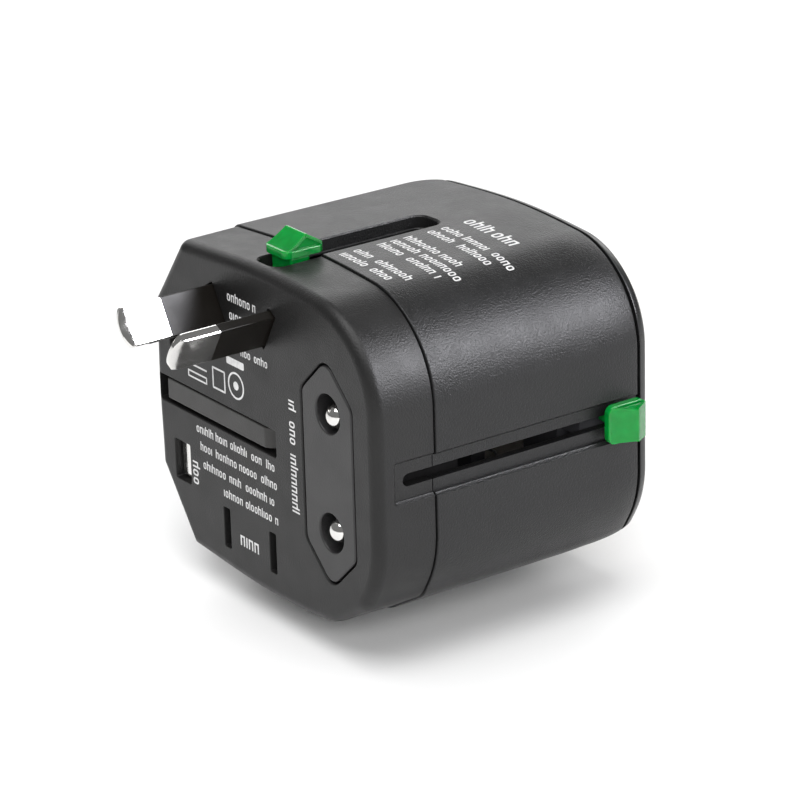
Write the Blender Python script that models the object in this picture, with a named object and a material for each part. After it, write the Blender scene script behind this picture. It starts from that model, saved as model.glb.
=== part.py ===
"""Universal travel adapter: a moulded cube with four sliders that push plug pins out of its front.

Every length is in millimetres until `at` turns it into metres. A point is (x, depth, z):
x runs across the front face, depth runs from the front face into the adapter, and z is
measured up from the centre line of the body.
"""
import math

import bmesh
import bpy
from mathutils import Matrix, Vector

for old in list(bpy.data.objects):
    bpy.data.objects.remove(old, do_unlink=True)

# ---- driving dimensions ---------------------------------------------------------------
MM = 0.001
RIGHT, LEFT, TOP, BOTTOM = 31.5, 29.0, 26.0, 25.0    # flat sides of the body, from its middle
BOW = 1.57                   # how far top and bottom swell at the middle
SIDE_BOW = 0.3
KNOB_HEIGHT = 3.6
REST_HEIGHT = BOTTOM + BOW + KNOB_HEIGHT
MIDDLE_X = (LEFT + SIDE_BOW - RIGHT) / 2    # centres the box of body and knobs
BLADE_REACH = 17.1           # how far the Australian blades stand out of the face
SEAM = 10.5
BODY_END = 48.9
RIM_START = 49.45
RIM_END = 51.0
REAR_DEPTH, REAR_INSET = 8.3, 1.43    # the rear end curves inwards over this depth
PLATE_END = 52.1
FRONT_Y = (BLADE_REACH - PLATE_END) / 2
WALL = 2.4
STEP = 0.3                   # body stands proud of the cap
CAP_TAPER = 0.12
FACE_FILLET = 1.9
GAP = 0.3

AUS_X, AUS_Z, AUS_SPACING = -3.3, 18.2, 13.7
AUS_WIDTH, AUS_THICK, AUS_TILT = 6.35, 1.63, 30.0
US_X, US_Z, US_SPACING = -3.3, -18.4, 12.7
US_WIDTH, US_THICK = 6.3, 1.5
UK_X, UK_SPACING, UK_DROP = -21.8, 22.2, 22.2
EU_X, EU_Z, EU_SPACING, EU_PIN_R, EU_HOLE_R = 19.2, -0.2, 19.0, 2.0, 3.05
EU_PIN_Z = (8.6, -9.7)
HEX_X, HEX_Z = 18.9, -0.45
HEX_HALF_WIDTH, HEX_HALF_HEIGHT, HEX_SHOULDER = 6.35, 18.05, 12.0
EARTH_PIVOT_X = UK_X + UK_DROP
EARTH_PIVOT_DEPTH = 4.0
EARTH_LENGTH = 26.1
HUB_R = 4.25
SOCKET_X, SOCKET_Z = -3.0, -4.0

TOP_SLOT_X, RIGHT_SLOT_Z, LEFT_SLOT_Z, BOTTOM_SLOT_X = 0.3, 0.9, 0.9, 0.3


def at(x, depth, z):
    """Metres in the object's frame for a point given in millimetres."""
    return Vector(((x + MIDDLE_X) * MM, (FRONT_Y + depth) * MM, (REST_HEIGHT + z) * MM))


# ---- materials ------------------------------------------------------------------------
def material(name, colour, roughness, metallic=0.0):
    made = bpy.data.materials.new(name)
    made.use_nodes = True
    shader = made.node_tree.nodes["Principled BSDF"]
    shader.inputs["Base Color"].default_value = (*colour, 1.0)
    shader.inputs["Roughness"].default_value = roughness
    shader.inputs["Metallic"].default_value = metallic
    return made


CAP_PLASTIC = material("charcoal_cap_plastic", (0.055, 0.055, 0.058), 0.5)
BODY_PLASTIC = material("charcoal_body_plastic", (0.06, 0.06, 0.065), 0.4)
RIM_PLASTIC = material("charcoal_rim_plastic", (0.045, 0.045, 0.048), 0.45)
PLATE_PLASTIC = material("pale_grey_plastic", (0.62, 0.6, 0.57), 0.5)
GREEN_PLASTIC = material("green_knob_plastic", (0.0, 0.5, 0.06), 0.25)
INSERT_PLASTIC = material("charcoal_insert_plastic", (0.05, 0.05, 0.052), 0.45)
EARTH_PLASTIC = material("charcoal_pin_plastic", (0.055, 0.053, 0.052), 0.45)
SLEEVE_PLASTIC = material("black_sleeve_plastic", (0.02, 0.02, 0.02), 0.3)
CARRIER_PLASTIC = material("ivory_carrier_plastic", (0.7, 0.68, 0.6), 0.55)
NICKEL = material("nickel_plate", (0.75, 0.74, 0.72), 0.15, 1.0)
BRASS = material("brass", (0.72, 0.52, 0.22), 0.3, 1.0)
STEEL = material("steel", (0.5, 0.5, 0.5), 0.35, 1.0)
CERAMIC = material("fuse_ceramic", (0.85, 0.84, 0.8), 0.4)


# ---- outline tools --------------------------------------------------------------------
def arc(before, here, after, radius, step):
    """Points rounding the corner at here between its two neighbours."""
    if radius <= 0:
        return [here]
    back = (before - here).normalized()
    onward = (after - here).normalized()
    half = back.angle(onward) / 2
    centre = here + (back + onward).normalized() * (radius / math.sin(half))
    start = here + back * (radius / math.tan(half)) - centre
    end = here + onward * (radius / math.tan(half)) - centre
    sweep = start.angle(end)
    turn = 1.0 if start.x * end.y - start.y * end.x > 0 else -1.0
    pieces = max(1, math.ceil(math.degrees(sweep) / step - 0.01))
    out = []
    for k in range(pieces + 1):
        a = turn * sweep * k / pieces
        out.append(centre + Vector((start.x * math.cos(a) - start.y * math.sin(a),
                                    start.x * math.sin(a) + start.y * math.cos(a))))
    return out


def rounded(corners, step=9.0):
    """Closed outline through corners (x, z, radius), each rounded by its own radius."""
    points = [Vector(corner[:2]) for corner in corners]
    out = []
    for i, corner in enumerate(corners):
        out += arc(points[i - 1], points[i], points[(i + 1) % len(points)], corner[2], step)
    return out


def grown(loop, distance):
    """Outline moved outwards by distance, or inwards when it is negative."""
    out = []
    for i, here in enumerate(loop):
        a = (here - loop[i - 1]).normalized()
        b = (loop[(i + 1) % len(loop)] - here).normalized()
        na = Vector((a.y, -a.x))
        nb = Vector((b.y, -b.x))
        out.append(here + (na + nb) * (distance / (1.0 + na.dot(nb))))
    return out


def bump(value, reach):
    """Smooth swelling: 1 at the middle, 0 at reach and beyond."""
    return math.cos(math.pi / 2 * value / reach) ** 2 if abs(value) < reach else 0.0


# Corner (x, z, radius, extra radius at the rear end).
BODY_CORNERS = [
    (RIGHT, -13.3, 17.0, 0), (RIGHT, TOP, 15.0, 0), (-20.3, TOP, 2.5, 10.0), (-LEFT, 14.5, 1.8, 0),
    (-LEFT, -13.4, 2.5, 0), (-20.2, -BOTTOM, 1.6, 10.0), (17.7, -BOTTOM, 11.0, 0), (27.3, -20.1, 5.0, 0),
]


def body_outline(inset, softness=0.0, spacing=3.0):
    """Cross-section of the body moved inwards by inset, anticlockwise seen from the front.

    Softness runs from 0 along the body to 1 at its rear end, where two corners grow rounder.
    """
    points = [Vector(corner[:2]) for corner in BODY_CORNERS]
    shrunk = grown(points, -inset)
    count = len(points)
    arcs = []
    for i in range(count):
        radius = max(BODY_CORNERS[i][2] - inset, 0.3) + BODY_CORNERS[i][3] * softness
        arcs.append(arc(shrunk[i - 1], shrunk[i], shrunk[(i + 1) % count], radius, 9.0))
    out = []
    for i in range(count):
        out += arcs[i]
        there = arcs[(i + 1) % count][0]
        pieces = max(1, round((points[(i + 1) % count] - points[i]).length / spacing) - 2)
        out += [arcs[i][-1].lerp(there, k / pieces) for k in range(1, pieces)]
    bowed = []
    for p in out:
        x, z = p
        share = min(max((abs(z) - 12.0) / 6.0, 0.0), 1.0)
        if x < -22.5:
            x -= SIDE_BOW * bump(z, 13.0)
        z += math.copysign(BOW * bump(x - 2.0, 31.5) * share, z)
        bowed.append(Vector((x, z)))
    return bowed


def rear_softness(depth):
    """0 along the body, then rising to 1 at the rear end as a quarter ellipse."""
    along = max(0.0, 1 - (RIM_END - depth) / REAR_DEPTH)
    return 1 - math.sqrt(1 - min(along, 1.0) ** 2)


def rear_section(depth, inset=0.0):
    soft = rear_softness(depth)
    return body_outline(REAR_INSET * soft + inset, soft)


def rectangle(x0, x1, z0, z1, radius=0.0):
    return rounded([(x1, z0, radius), (x1, z1, radius), (x0, z1, radius), (x0, z0, radius)], 22.5)


def circle(x, z, radius, sides=24):
    return [Vector((x + radius * math.cos(2 * math.pi * k / sides),
                    z + radius * math.sin(2 * math.pi * k / sides))) for k in range(sides)]


def tilted(x, z, width, thick, degrees, radius=0.0):
    """Upright rectangle, thick across and width tall, leaning to the right by degrees."""
    turn = Matrix.Rotation(-math.radians(degrees), 2)
    flat = rectangle(-thick / 2, thick / 2, -width / 2, width / 2, radius)
    return [Vector((x, z)) + turn @ p for p in flat]


def hexagon(extra=0.0):
    """Outline of the European plug block."""
    w, h, s = HEX_HALF_WIDTH, HEX_HALF_HEIGHT, HEX_SHOULDER
    corners = [(w, -s, 2.0), (w, s, 2.0), (0.0, h, 2.2), (-w, s, 2.0), (-w, -s, 2.0), (0.0, -h, 2.2)]
    return grown([p + Vector((HEX_X, HEX_Z)) for p in rounded(corners, 12.0)], extra)


# ---- solid tools ----------------------------------------------------------------------
def finish(name, mesh, origin, look, smooth_angle=35.0):
    """Object called name from a bmesh in metres, with its origin at origin."""
    bmesh.ops.recalc_face_normals(mesh, faces=mesh.faces)
    if mesh.calc_volume(signed=True) < 0:
        bmesh.ops.reverse_faces(mesh, faces=mesh.faces)
    data = bpy.data.meshes.new(name)
    bmesh.ops.translate(mesh, vec=-origin, verts=mesh.verts)
    mesh.to_mesh(data)
    mesh.free()
    made = bpy.data.objects.new(name, data)
    made.location = origin
    bpy.context.scene.collection.objects.link(made)
    if look is not None:
        data.materials.append(look)
        data.shade_smooth()
        data.set_sharp_from_angle(angle=math.radians(smooth_angle))
    return made


def loft(mesh, rings):
    """Closed skin through rings of (depth, outline), all with the same number of points."""
    made = [[mesh.verts.new(at(p.x, depth, p.y)) for p in loop] for depth, loop in rings]
    count = len(made[0])
    for a, b in zip(made, made[1:]):
        for i in range(count):
            j = (i + 1) % count
            mesh.faces.new((a[i], a[j], b[j], b[i]))
    mesh.faces.new(made[0])
    mesh.faces.new(made[-1])
    return mesh


def prism(mesh, outline, depth0, depth1):
    return loft(mesh, [(depth0, outline), (depth1, outline)])


def plug(mesh, outline, tip, root, nose=1.0, inset=0.9):
    """Prism whose end at depth tip is chamfered by nose over inset."""
    half = grown(outline, -inset * 0.38)
    small = grown(outline, -inset)
    return loft(mesh, [(tip, small), (tip + nose * 0.38, half), (tip + nose, outline), (root, outline)])


def tube(mesh, x, z, rings, sides=24):
    """Round solid along the depth axis through rings of (depth, radius)."""
    return loft(mesh, [(depth, circle(x, z, radius, sides)) for depth, radius in rings])


def brick(mesh, x0, x1, depth0, depth1, z0, z1):
    return prism(mesh, rectangle(x0, x1, z0, z1), depth0, depth1)


def shape(maker, *details):
    mesh = bmesh.new()
    maker(mesh, *details)
    return mesh


tools = []


def hide_tool(tool):
    tool.hide_render = True
    tool.display_type = "WIRE"
    tools.append(tool)


def combine(target, mesh, operation, label):
    """Cut the shape out of target, or join it on."""
    tool = finish(target.name + "_" + label, mesh, Vector((0, 0, 0)), None)
    hide_tool(tool)
    change = target.modifiers.new(label, "BOOLEAN")
    change.operation = operation
    change.object = tool
    change.solver = "EXACT"


def cut(target, mesh, label):
    combine(target, mesh, "DIFFERENCE", label)


def join(target, mesh, label):
    combine(target, mesh, "UNION", label)


# ---- the four sliding channels --------------------------------------------------------
# Each side gives the outward direction and the direction across the channel.
SIDES = {
    "top": {"out": (0, 1), "across": (1, 0), "surface": TOP + BOW, "centre": TOP_SLOT_X},
    "bottom": {"out": (0, -1), "across": (1, 0), "surface": BOTTOM + BOW, "centre": BOTTOM_SLOT_X},
    "right": {"out": (1, 0), "across": (0, 1), "surface": RIGHT, "centre": RIGHT_SLOT_Z},
    "left": {"out": (-1, 0), "across": (0, 1), "surface": LEFT + SIDE_BOW, "centre": LEFT_SLOT_Z},
}


def on_side(side, across, depth, height):
    """Point given across the channel, along the depth and outwards from the body's surface."""
    s = SIDES[side]
    out = s["surface"] + height
    sideways = s["centre"] + across
    return at(s["out"][0] * out + s["across"][0] * sideways, depth,
              s["out"][1] * out + s["across"][1] * sideways)


def pad(mesh, side, half, depth0, depth1, low, high, radius=0.0, top_inset=0.0):
    """Flat-topped block on a side of the body, with rounded upright corners."""
    outline = rectangle(-half, half, depth0, depth1, radius)
    upper = grown(outline, -top_inset)
    rings = [(low, outline), (high - top_inset, outline)] if top_inset else [(low, outline)]
    rings.append((high, upper))
    made = [[mesh.verts.new(on_side(side, p.x, p.y, h)) for p in loop] for h, loop in rings]
    count = len(outline)
    for a, b in zip(made, made[1:]):
        for i in range(count):
            j = (i + 1) % count
            mesh.faces.new((a[i], a[j], b[j], b[i]))
    mesh.faces.new(made[0])
    mesh.faces.new(made[-1])
    return mesh


# ---- front cap ------------------------------------------------------------------------
section = body_outline(0.0)


def cap_inset(depth):
    return STEP + CAP_TAPER * (SEAM - depth) / SEAM


cap_rings = []
for k in range(7):
    a = math.radians(15 * k)
    depth = FACE_FILLET * (1 - math.cos(a))
    cap_rings.append((depth, body_outline(cap_inset(depth) + FACE_FILLET * (1 - math.sin(a)))))
cap_rings.append((SEAM - 0.15, body_outline(cap_inset(SEAM - 0.15))))
front_cap = finish("front_cap", shape(loft, cap_rings), at(0, 0, 0), CAP_PLASTIC, 32.0)
cavity = body_outline(STEP + CAP_TAPER + WALL)
cut(front_cap, shape(prism, cavity, 2.2, SEAM + 2), "cavity")
join(front_cap, shape(brick, -27.9, 7.4, 1.0, 10.1, -4.2, 4.2), "earth_pin_housing")

# Case screws: centre, and how far up or down a rib ties each boss to the wall.
SCREWS = [(-17.4, 20.9, 25.2), (-17.0, -20.2, -24.6), (21.4, 19.6, 23.7), (12.2, -20.6, -24.9)]
for n, (x, z, wall_z) in enumerate(SCREWS):
    join(front_cap, shape(tube, x, z, [(1.2, 2.3), (SEAM - 0.35, 2.3)], 16), f"boss_{n + 1}")
for n, (x, z, wall_z) in enumerate(SCREWS):
    cut(front_cap, shape(tube, x, z, [(3.0, 1.15), (SEAM + 2, 1.15)], 16), f"pilot_{n + 1}")

cut(front_cap, shape(brick, -27.8, 4.95, -1, 8.45, -2.15, 2.15), "earth_pin_trough")
cut(front_cap, shape(prism, hexagon(GAP), -1, 4), "block_opening")
for n, side in enumerate((-1, 1)):
    blade = tilted(AUS_X + side * AUS_SPACING / 2, AUS_Z, AUS_WIDTH + 0.5, AUS_THICK + 0.5, side * AUS_TILT)
    cut(front_cap, shape(prism, blade, -1, 4), f"aus_opening_{n + 1}")
    slit = tilted(US_X + side * US_SPACING / 2, US_Z, US_WIDTH + 0.3, US_THICK + 0.25, 0)
    cut(front_cap, shape(prism, slit, -1, 4), f"us_opening_{n + 1}")
    hole = rectangle(UK_X - 2.15, UK_X + 2.15, side * UK_SPACING / 2 - 3.3, side * UK_SPACING / 2 + 3.3)
    cut(front_cap, shape(prism, hole, -1, 4), f"uk_opening_{n + 1}")

# ---- main body shell ------------------------------------------------------------------
body_rings = [
    (SEAM + 0.15, body_outline(0.45)), (SEAM + 0.3, body_outline(0.13)), (SEAM + 0.65, section),
    (RIM_END - REAR_DEPTH, section), (45.6, rear_section(45.6)), (47.4, rear_section(47.4)),
    (BODY_END - 0.25, rear_section(BODY_END - 0.25)), (BODY_END, rear_section(BODY_END, 0.2)),
]
main_body = finish("main_body", shape(loft, body_rings), at(0, SEAM, 0), BODY_PLASTIC, 32.0)
cut(main_body, shape(prism, body_outline(WALL), SEAM - 3, BODY_END + 3), "bore")
for n, (x, z, wall_z) in enumerate(SCREWS):
    join(main_body, shape(tube, x, z, [(SEAM + 0.35, 2.3), (17.0, 2.3)], 16), f"boss_{n + 1}")
    join(main_body, shape(brick, x - 0.7, x + 0.7, SEAM + 0.8, 16.6, min(z, wall_z), max(z, wall_z)),
         f"rib_{n + 1}")
for n, (x, z, wall_z) in enumerate(SCREWS):
    cut(main_body, shape(tube, x, z, [(SEAM - 2, 1.3), (20, 1.3)], 16), f"clearance_{n + 1}")


def channel(side, recess, slot):
    """Sunken track and through slot, cut in the cap and the body alike."""
    half, depth0, depth1, sunk, radius = recess
    for owner in (front_cap, main_body):
        if owner is front_cap and slot[1] > SEAM:
            continue
        if sunk:
            cut(owner, shape(pad, side, half, depth0, depth1, -sunk, 3.0, radius), side + "_track")
        cut(owner, shape(pad, side, slot[0], slot[1], slot[2], -8.0, 3.0, slot[3]), side + "_slot")


channel("top", (0, 0, 0, 0, 0), (3.0, 2.3, 33.3, 1.9))
channel("right", (3.0, 3.7, 60.0, 1.0, 0.0), (1.0, 5.2, 48.4, 0.99))
channel("left", (3.0, 11.5, 39.0, 1.0, 0.0), (1.0, 12.9, 37.4, 0.99))
channel("bottom", (3.0, 3.7, 31.6, 1.0, 0.0), (1.0, 5.2, 30.2, 0.99))

# ---- rear rim and socket plate --------------------------------------------------------
plate_outline = body_outline(2.15, 1.0)
tongue = body_outline(WALL + 0.25)
rim_rings = [
    (46.2, tongue), (RIM_START, tongue), (RIM_START, rear_section(RIM_START, 0.1)),
    (RIM_START + 0.15, rear_section(RIM_START + 0.15)), (50.2, rear_section(50.2)),
    (50.7, rear_section(50.7)),
    (RIM_END - 0.06, rear_section(RIM_END - 0.06)), (RIM_END, body_outline(REAR_INSET, 1.0)),
]
rear_rim = finish("rear_rim", shape(loft, rim_rings), at(0, RIM_START, 0), RIM_PLASTIC, 32.0)
cut(rear_rim, shape(prism, body_outline(WALL + 1.45), 40, 60), "tongue_bore")
cut(rear_rim, shape(prism, body_outline(1.9, 1.0), RIM_START + 0.55, 60), "plate_seat")
cut(rear_rim, shape(pad, "right", 3.4, 40.0, 47.6, -6.0, 4.0), "slider_notch")

plate_rings = [
    (RIM_START + 0.75, plate_outline), (PLATE_END - 0.9, plate_outline),
    (PLATE_END - 0.3, body_outline(2.4, 1.0)), (PLATE_END, body_outline(3.05, 1.0)),
]
socket_plate = finish("socket_plate", shape(loft, plate_rings), at(0, PLATE_END, 0), PLATE_PLASTIC)
join(socket_plate, shape(prism, body_outline(WALL + 1.75), 47.2, RIM_START + 1.4), "inner_step")
for x0, label in ((-19.9, "left"), (12.4, "right")):
    join(socket_plate, shape(brick, x0, x0 + 1.2, 43.6, 48.5, -18.4, 4.5), f"shutter_guide_{label}")
join(socket_plate, shape(brick, -6.0, 0.0, 43.9, 48.5, -22.0, -21.4), "spring_seat")


def socket_hole(side):
    """Outline list of the merged opening for one pole."""
    x = SOCKET_X
    low, high = sorted((x + side * 7.1, x + side * 14.7))
    return [
        rectangle(low, high, SOCKET_Z - 2.5, SOCKET_Z + 2.5, 1.2),
        rectangle(x + side * 6.35 - 1.1, x + side * 6.35 + 1.1, SOCKET_Z - 4.2, SOCKET_Z + 4.2, 0.4),
        tilted(x + side * 7.9, SOCKET_Z + 0.6, 9.4, 2.2, -side * AUS_TILT, 0.4),
        rectangle(x + side * 11.1 - 3.4, x + side * 11.1 + 3.4, SOCKET_Z - 2.15, SOCKET_Z + 2.2, 0.5),
    ]


for side, label in ((-1, "live"), (1, "neutral")):
    for n, outline in enumerate(socket_hole(side)):
        cut(socket_plate, shape(prism, outline, 46, 54), f"{label}_opening_{n + 1}")
earth_hole = rectangle(SOCKET_X - 2.2, SOCKET_X + 2.2, SOCKET_Z + 22.2 - 4.3, SOCKET_Z + 22.2 + 4.3, 0.5)
cut(socket_plate, shape(prism, earth_hole, 46, 54), "earth_opening")

# ---- European block, pins, carrier and knob -------------------------------------------
BLOCK_LENGTH = 19.0
block_rings = [
    (0.0, grown(hexagon(), -0.25)), (0.25, hexagon()), (BLOCK_LENGTH, hexagon()),
]
eu_block = finish("eu_plug_block", shape(loft, block_rings), at(EU_X, 0, EU_Z), INSERT_PLASTIC)
EU_REST_TIP = 0.0
for n, side in enumerate((1, -1)):
    z = EU_Z + side * EU_SPACING / 2
    cut(eu_block, shape(tube, EU_X, z, [(-1, EU_HOLE_R + 0.35), (0.35, EU_HOLE_R), (9.0, EU_HOLE_R)], 32),
        f"well_{n + 1}")
    cut(eu_block, shape(tube, EU_X, EU_PIN_Z[n], [(8.0, EU_PIN_R + 0.15), (20, EU_PIN_R + 0.15)], 24),
        f"guide_{n + 1}")

CARRIER_FRONT = 39.0
for n, z in enumerate(EU_PIN_Z):
    nose = [(EU_REST_TIP + EU_PIN_R * (1 - math.sin(math.radians(a))),
             EU_PIN_R * math.cos(math.radians(a))) for a in (82, 66, 50, 34, 17, 0)]
    rings = nose + [(CARRIER_FRONT + 3.5, EU_PIN_R)]
    finish(("eu_pin_upper", "eu_pin_lower")[n], shape(tube, EU_X, z, rings, 24),
           at(EU_X, EU_REST_TIP, z), NICKEL)

eu_carrier = finish("eu_carrier", shape(brick, 15.2, 23.6, CARRIER_FRONT, CARRIER_FRONT + 6.0, -12.2, 11.8),
                    at(EU_X, CARRIER_FRONT, EU_Z), CARRIER_PLASTIC)
join(eu_carrier, shape(brick, 22.6, 27.9, CARRIER_FRONT + 1.0, CARRIER_FRONT + 7.5,
                       RIGHT_SLOT_Z - 2.6, RIGHT_SLOT_Z + 2.6), "slider_arm")
for n, z in enumerate(EU_PIN_Z):
    cut(eu_carrier, shape(tube, EU_X, z, [(CARRIER_FRONT - 2, EU_PIN_R + 0.05),
                                          (CARRIER_FRONT + 3.6, EU_PIN_R + 0.05)], 24), f"pin_seat_{n + 1}")


def slider_knob(name, side, middle, stem_middle, stem_half_width, stem_depth):
    """Thumb piece: rounded base, a tent-shaped grip across it and a stem through the slot."""
    base = shape(pad, side, 3.1, middle - 3.6, middle + 3.6, 0.3, 1.65, 1.3, 0.25)
    knob = finish(name, base, on_side(side, 0, middle, 0), GREEN_PLASTIC, 30.0)
    grip = bmesh.new()
    for across, along, height in ((2.75, -3.25, 1.45), (2.75, 3.25, 1.45), (2.9, 0.0, 1.45),
                                  (2.55, -3.1, 1.75), (2.55, 3.1, 1.9), (2.25, 0.1, KNOB_HEIGHT - 0.12),
                                  (2.05, 0.3, KNOB_HEIGHT), (2.1, 0.75, KNOB_HEIGHT - 0.05)):
        for sign in (-1, 1):
            grip.verts.new(on_side(side, sign * across, middle + along, height))
    bmesh.ops.convex_hull(grip, input=grip.verts)
    join(knob, grip, "grip")
    join(knob, shape(pad, side, stem_half_width, stem_middle - 1.75, stem_middle + 1.75, -stem_depth, 0.9,
                     0.3),
         "stem")
    return knob


slider_knob("eu_knob", "right", 45.3, 45.2, 0.8, 3.4)

# ---- Australian and Chinese blades ----------------------------------------------------
AUS_CARRIER_FRONT = 2.5
AUS_SLEEVE_START = -9.3
for side in (-1, 1):
    label = "left" if side < 0 else "right"
    x = AUS_X + side * AUS_SPACING / 2
    blade = finish(f"aus_blade_{label}",
                   shape(plug, tilted(x, AUS_Z, AUS_WIDTH, AUS_THICK, side * AUS_TILT),
                         -BLADE_REACH, AUS_SLEEVE_START, 0.8, 0.4),
                   at(x, -BLADE_REACH, AUS_Z), NICKEL)
    join(blade, shape(prism, tilted(x, AUS_Z, 5.3, 0.8, side * AUS_TILT), AUS_SLEEVE_START - 1, 4.6),
         "shank")
    sleeve = finish(f"aus_sleeve_{label}",
                    shape(prism, tilted(x, AUS_Z, AUS_WIDTH, AUS_THICK, side * AUS_TILT),
                          AUS_SLEEVE_START + 0.03, AUS_CARRIER_FRONT - 0.05),
                    at(x, AUS_SLEEVE_START, AUS_Z), SLEEVE_PLASTIC)
    cut(sleeve, shape(prism, tilted(x, AUS_Z, 5.4, 0.9, side * AUS_TILT), -12, 5), "bore")

aus_carrier = finish("aus_carrier", shape(brick, -13.4, 7.4, AUS_CARRIER_FRONT, AUS_CARRIER_FRONT + 3.2,
                                          14.2, 22.6),
                     at(AUS_X, AUS_CARRIER_FRONT, AUS_Z), CARRIER_PLASTIC)
join(aus_carrier, shape(brick, TOP_SLOT_X - 3.2, TOP_SLOT_X + 3.2, AUS_CARRIER_FRONT + 0.5, 9.2, 21.0,
                        23.6), "slider_arm")
for side in (-1, 1):
    x = AUS_X + side * AUS_SPACING / 2
    cut(aus_carrier, shape(prism, tilted(x, AUS_Z, 5.4, 0.9, side * AUS_TILT), 0, 4.7), f"seat_{2 + side}")
slider_knob("aus_knob", "top", 7.8, 7.1, 2.6, 3.6)

# ---- American blades ------------------------------------------------------------------
US_TIP = 3.0
US_CARRIER_FRONT = US_TIP + 19.5
for side in (-1, 1):
    label = "left" if side < 0 else "right"
    x = US_X + side * US_SPACING / 2
    finish(f"us_blade_{label}",
           shape(plug, tilted(x, US_Z, US_WIDTH, US_THICK, 0), US_TIP, US_CARRIER_FRONT + 2.0, 0.9, 0.4),
           at(x, US_TIP, US_Z), NICKEL)
us_carrier = finish("us_carrier", shape(brick, -12.6, 6.0, US_CARRIER_FRONT, US_CARRIER_FRONT + 3.2, -22.5,
                                        -14.6),
                    at(US_X, US_CARRIER_FRONT, US_Z), CARRIER_PLASTIC)
join(us_carrier, shape(brick, BOTTOM_SLOT_X - 2.6, BOTTOM_SLOT_X + 2.6, US_CARRIER_FRONT + 0.5,
                       US_CARRIER_FRONT + 7.5,
                       -22.8, -20.0), "slider_arm")
for side in (-1, 1):
    x = US_X + side * US_SPACING / 2
    cut(us_carrier, shape(prism, tilted(x, US_Z, US_WIDTH + 0.1, US_THICK + 0.1, 0), US_CARRIER_FRONT - 2,
                          US_CARRIER_FRONT + 2.1), f"seat_{2 + side}")
slider_knob("us_knob", "bottom", 27.6, 27.5, 0.8, 3.4)

# ---- British pins ---------------------------------------------------------------------
UK_TIP = 1.1
UK_BRIDGE = 30.2
for side in (-1, 1):
    label = "lower" if side < 0 else "upper"
    z = side * UK_SPACING / 2
    finish(f"uk_pin_{label}",
           shape(plug, rectangle(UK_X - 1.98, UK_X + 1.98, z - 3.17, z + 3.17), UK_TIP, UK_BRIDGE + 2.5,
                 0.5, 0.5),
           at(UK_X, UK_TIP, z), NICKEL)
uk_carrier = finish("uk_carrier", shape(brick, -24.8, -19.4, UK_BRIDGE, UK_BRIDGE + 4.0, -15.0, 15.0),
                    at(UK_X, UK_BRIDGE, 0), CARRIER_PLASTIC)
join(uk_carrier, shape(brick, -25.5, -23.0, UK_BRIDGE + 0.6, UK_BRIDGE + 6.5, LEFT_SLOT_Z - 2.6,
                       LEFT_SLOT_Z + 2.6), "slider_arm")
for side in (-1, 1):
    z = side * UK_SPACING / 2
    cut(uk_carrier, shape(brick, UK_X - 2.03, UK_X + 2.03, UK_BRIDGE - 2, UK_BRIDGE + 2.6, z - 3.22,
                          z + 3.22),
        f"seat_{2 + side}")
slider_knob("uk_knob", "left", 35.0, 34.9, 0.8, 3.4)

# ---- folding earth pin ----------------------------------------------------------------
def upright(mesh, plan, z0, z1):
    """Solid standing along z over a plan outline of (x, depth) points."""
    low = [mesh.verts.new(at(x, depth, z0)) for x, depth in plan]
    high = [mesh.verts.new(at(x, depth, z1)) for x, depth in plan]
    for i in range(len(plan)):
        j = (i + 1) % len(plan)
        mesh.faces.new((low[i], low[j], high[j], high[i]))
    mesh.faces.new(low)
    mesh.faces.new(high)
    return mesh


hub_flat = math.degrees(math.asin(4.0 / HUB_R))
hub = [(EARTH_PIVOT_X + HUB_R * math.cos(a), EARTH_PIVOT_DEPTH + HUB_R * math.sin(a))
       for a in (math.radians(-hub_flat + hub_flat * k / 6) for k in range(13))]
tip_x = EARTH_PIVOT_X - EARTH_LENGTH
pin_plan = hub + [(tip_x + 2.0, 8.0), (tip_x, 6.2), (tip_x, 0.6), (tip_x + 0.6, 0.0)]
earth_pin = finish("uk_earth_pin", shape(upright, pin_plan, -1.5, 2.0),
                   at(EARTH_PIVOT_X, EARTH_PIVOT_DEPTH, 0), EARTH_PLASTIC)


def post(mesh, x, depth, radius, z0, z1, sides=24):
    return upright(mesh, [(x + radius * math.cos(2 * math.pi * k / sides),
                           depth + radius * math.sin(2 * math.pi * k / sides)) for k in range(sides)], z0, z1)


cut(earth_pin, shape(post, EARTH_PIVOT_X, EARTH_PIVOT_DEPTH, 1.05, -5, 5), "bore")
cut(front_cap, shape(post, EARTH_PIVOT_X, EARTH_PIVOT_DEPTH, 1.03, -3.6, 3.6), "hinge_bore")
finish("earth_hinge_rod", shape(post, EARTH_PIVOT_X, EARTH_PIVOT_DEPTH, 1.0, -3.5, 3.5),
       at(EARTH_PIVOT_X, EARTH_PIVOT_DEPTH, 0), STEEL)

# ---- inside: contacts, fuse, shutter, screws ------------------------------------------
contact_frame = finish("contact_frame", shape(brick, -17.0, 11.5, 31.6, 34.2, -12.4, 8.0),
                       at(SOCKET_X, 31.6, 0), CARRIER_PLASTIC)
join(contact_frame, shape(brick, -9.5, 3.5, 12.0, 32.6, -7.5, -5.5), "spine")
for side in (-1, 1):
    join(contact_frame, shape(brick, SOCKET_X + side * 4.6 - 0.9, SOCKET_X + side * 4.6 + 0.9, 13.0, 32.6,
                              -6.5, 6.0),
         f"wall_{2 + side}")
    join(contact_frame, shape(brick, SOCKET_X + side * 12.0 - 1.4, SOCKET_X + side * 12.0 + 1.4, 33.0, 46.9,
                              4.9, 7.6),
         f"rear_post_{2 + side}")
join(contact_frame, shape(brick, -9.5, 3.5, 10.4, 12.6, -7.5, -3.2), "front_foot")

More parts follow.
